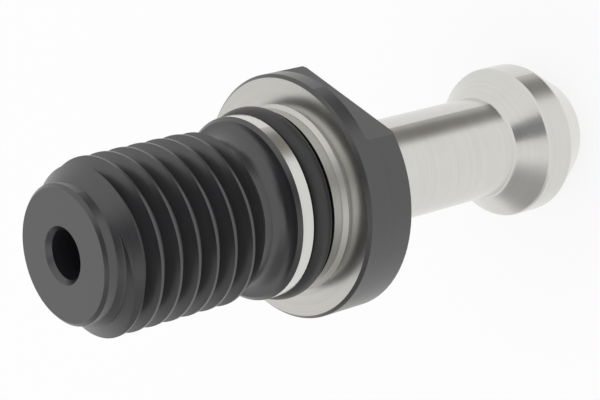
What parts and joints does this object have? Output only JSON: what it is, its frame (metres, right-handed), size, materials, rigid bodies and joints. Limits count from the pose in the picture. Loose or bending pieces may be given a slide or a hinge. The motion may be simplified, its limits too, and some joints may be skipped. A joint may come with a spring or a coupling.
{
  "type": "pull stud",
  "caption": "Pull stud for a steep-taper tool holder: threaded end, flange with wrench flats, sealed pilot, slim neck and a head with a 45 degree gripping cone.",
  "frame": {"origin": "centre of the flange's ground seat face, on the stud's axis", "axes": "+Z along the axis towards the threaded end, +X square to the first wrench flat; the stud stands on the flat end of its head"},
  "size_m": [0.023, 0.023, 0.06],
  "materials": {
    "blackened_steel": "hardened steel, black oxide, with the pilot, seat face, neck and head ground bright",
    "seal_rubber": "smooth black nitrile rubber"
  },
  "bodies": {
    "root": {"stud_body": "blackened_steel", "o_ring": "seal_rubber"}
  },
  "joints": []
}
